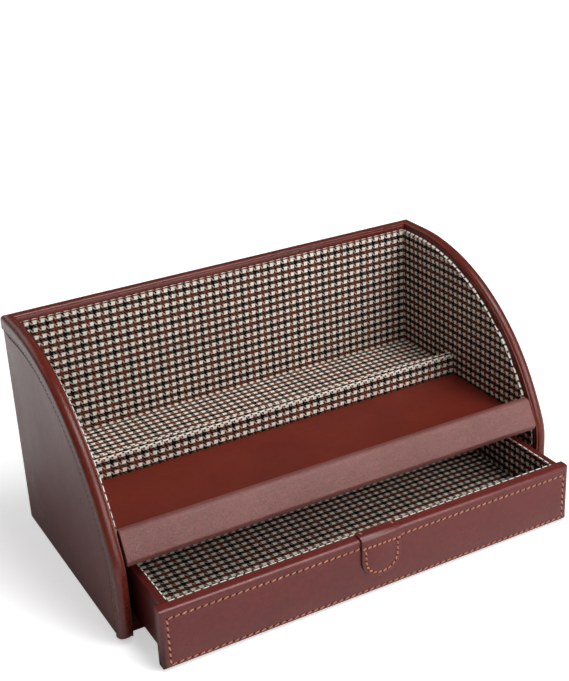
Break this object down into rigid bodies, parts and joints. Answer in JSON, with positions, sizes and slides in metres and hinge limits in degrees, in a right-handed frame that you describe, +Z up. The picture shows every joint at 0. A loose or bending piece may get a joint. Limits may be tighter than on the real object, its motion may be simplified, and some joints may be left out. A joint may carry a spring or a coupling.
{
  "type": "valet box with drawer",
  "caption": "Leather valet box with curved sides, an open rear tray, a shelf behind a slanted front rail, and a stitched pull-out drawer, lined with check cloth.",
  "frame": {"origin": "centre of the case's footprint on the surface it stands on, with the drawer left out", "axes": "+X to the right of someone facing the box, -Y out of its front, the way the drawer opens, +Z up"},
  "size_m": [0.224, 0.1462, 0.1095],
  "materials": {
    "leather": "smooth semi-gloss reddish brown",
    "check_cloth": "woven small check in cream, black and rust brown",
    "board": "bare fibreboard, hidden under the leather and cloth",
    "felt": "matt dark brown felt"
  },
  "bodies": {
    "case": {"back_board": "board", "back_cover": "leather", "back_edge_band": "leather", "back_lining": "check_cloth", "base_board": "board", "base_felt": "felt", "base_front_strip": "leather", "deck_board": "board", "divider_board": "board", "divider_cover": "check_cloth", "divider_front_lining": "check_cloth", "front_rail_board": "board", "front_rail_cover": "leather", "shelf_leather": "leather", "side_board_left": "board", "side_board_right": "board", "side_cover_left": "leather", "side_cover_right": "leather", "side_edge_band_left": "leather", "side_edge_band_right": "leather", "side_lining_left": "check_cloth", "side_lining_right": "check_cloth", "tray_floor_pad": "check_cloth"},
    "drawer": {"drawer_back_board": "board", "drawer_back_cover": "leather", "drawer_back_lining": "check_cloth", "drawer_bottom_board": "board", "drawer_floor_pad": "check_cloth", "drawer_front_board": "board", "drawer_front_cover": "leather", "drawer_front_lining": "check_cloth", "drawer_side_board_left": "board", "drawer_side_board_right": "board", "drawer_side_cover_left": "leather", "drawer_side_cover_right": "leather", "drawer_side_lining_left": "check_cloth", "drawer_side_lining_right": "check_cloth", "pull_tab": "leather"}
  },
  "joints": [
    {"name": "drawer_slide", "type": "slide", "parent": "case", "child": "drawer", "axis": [0, -1, 0], "range_m": [-0.0255, 0.0565]}
  ]
}
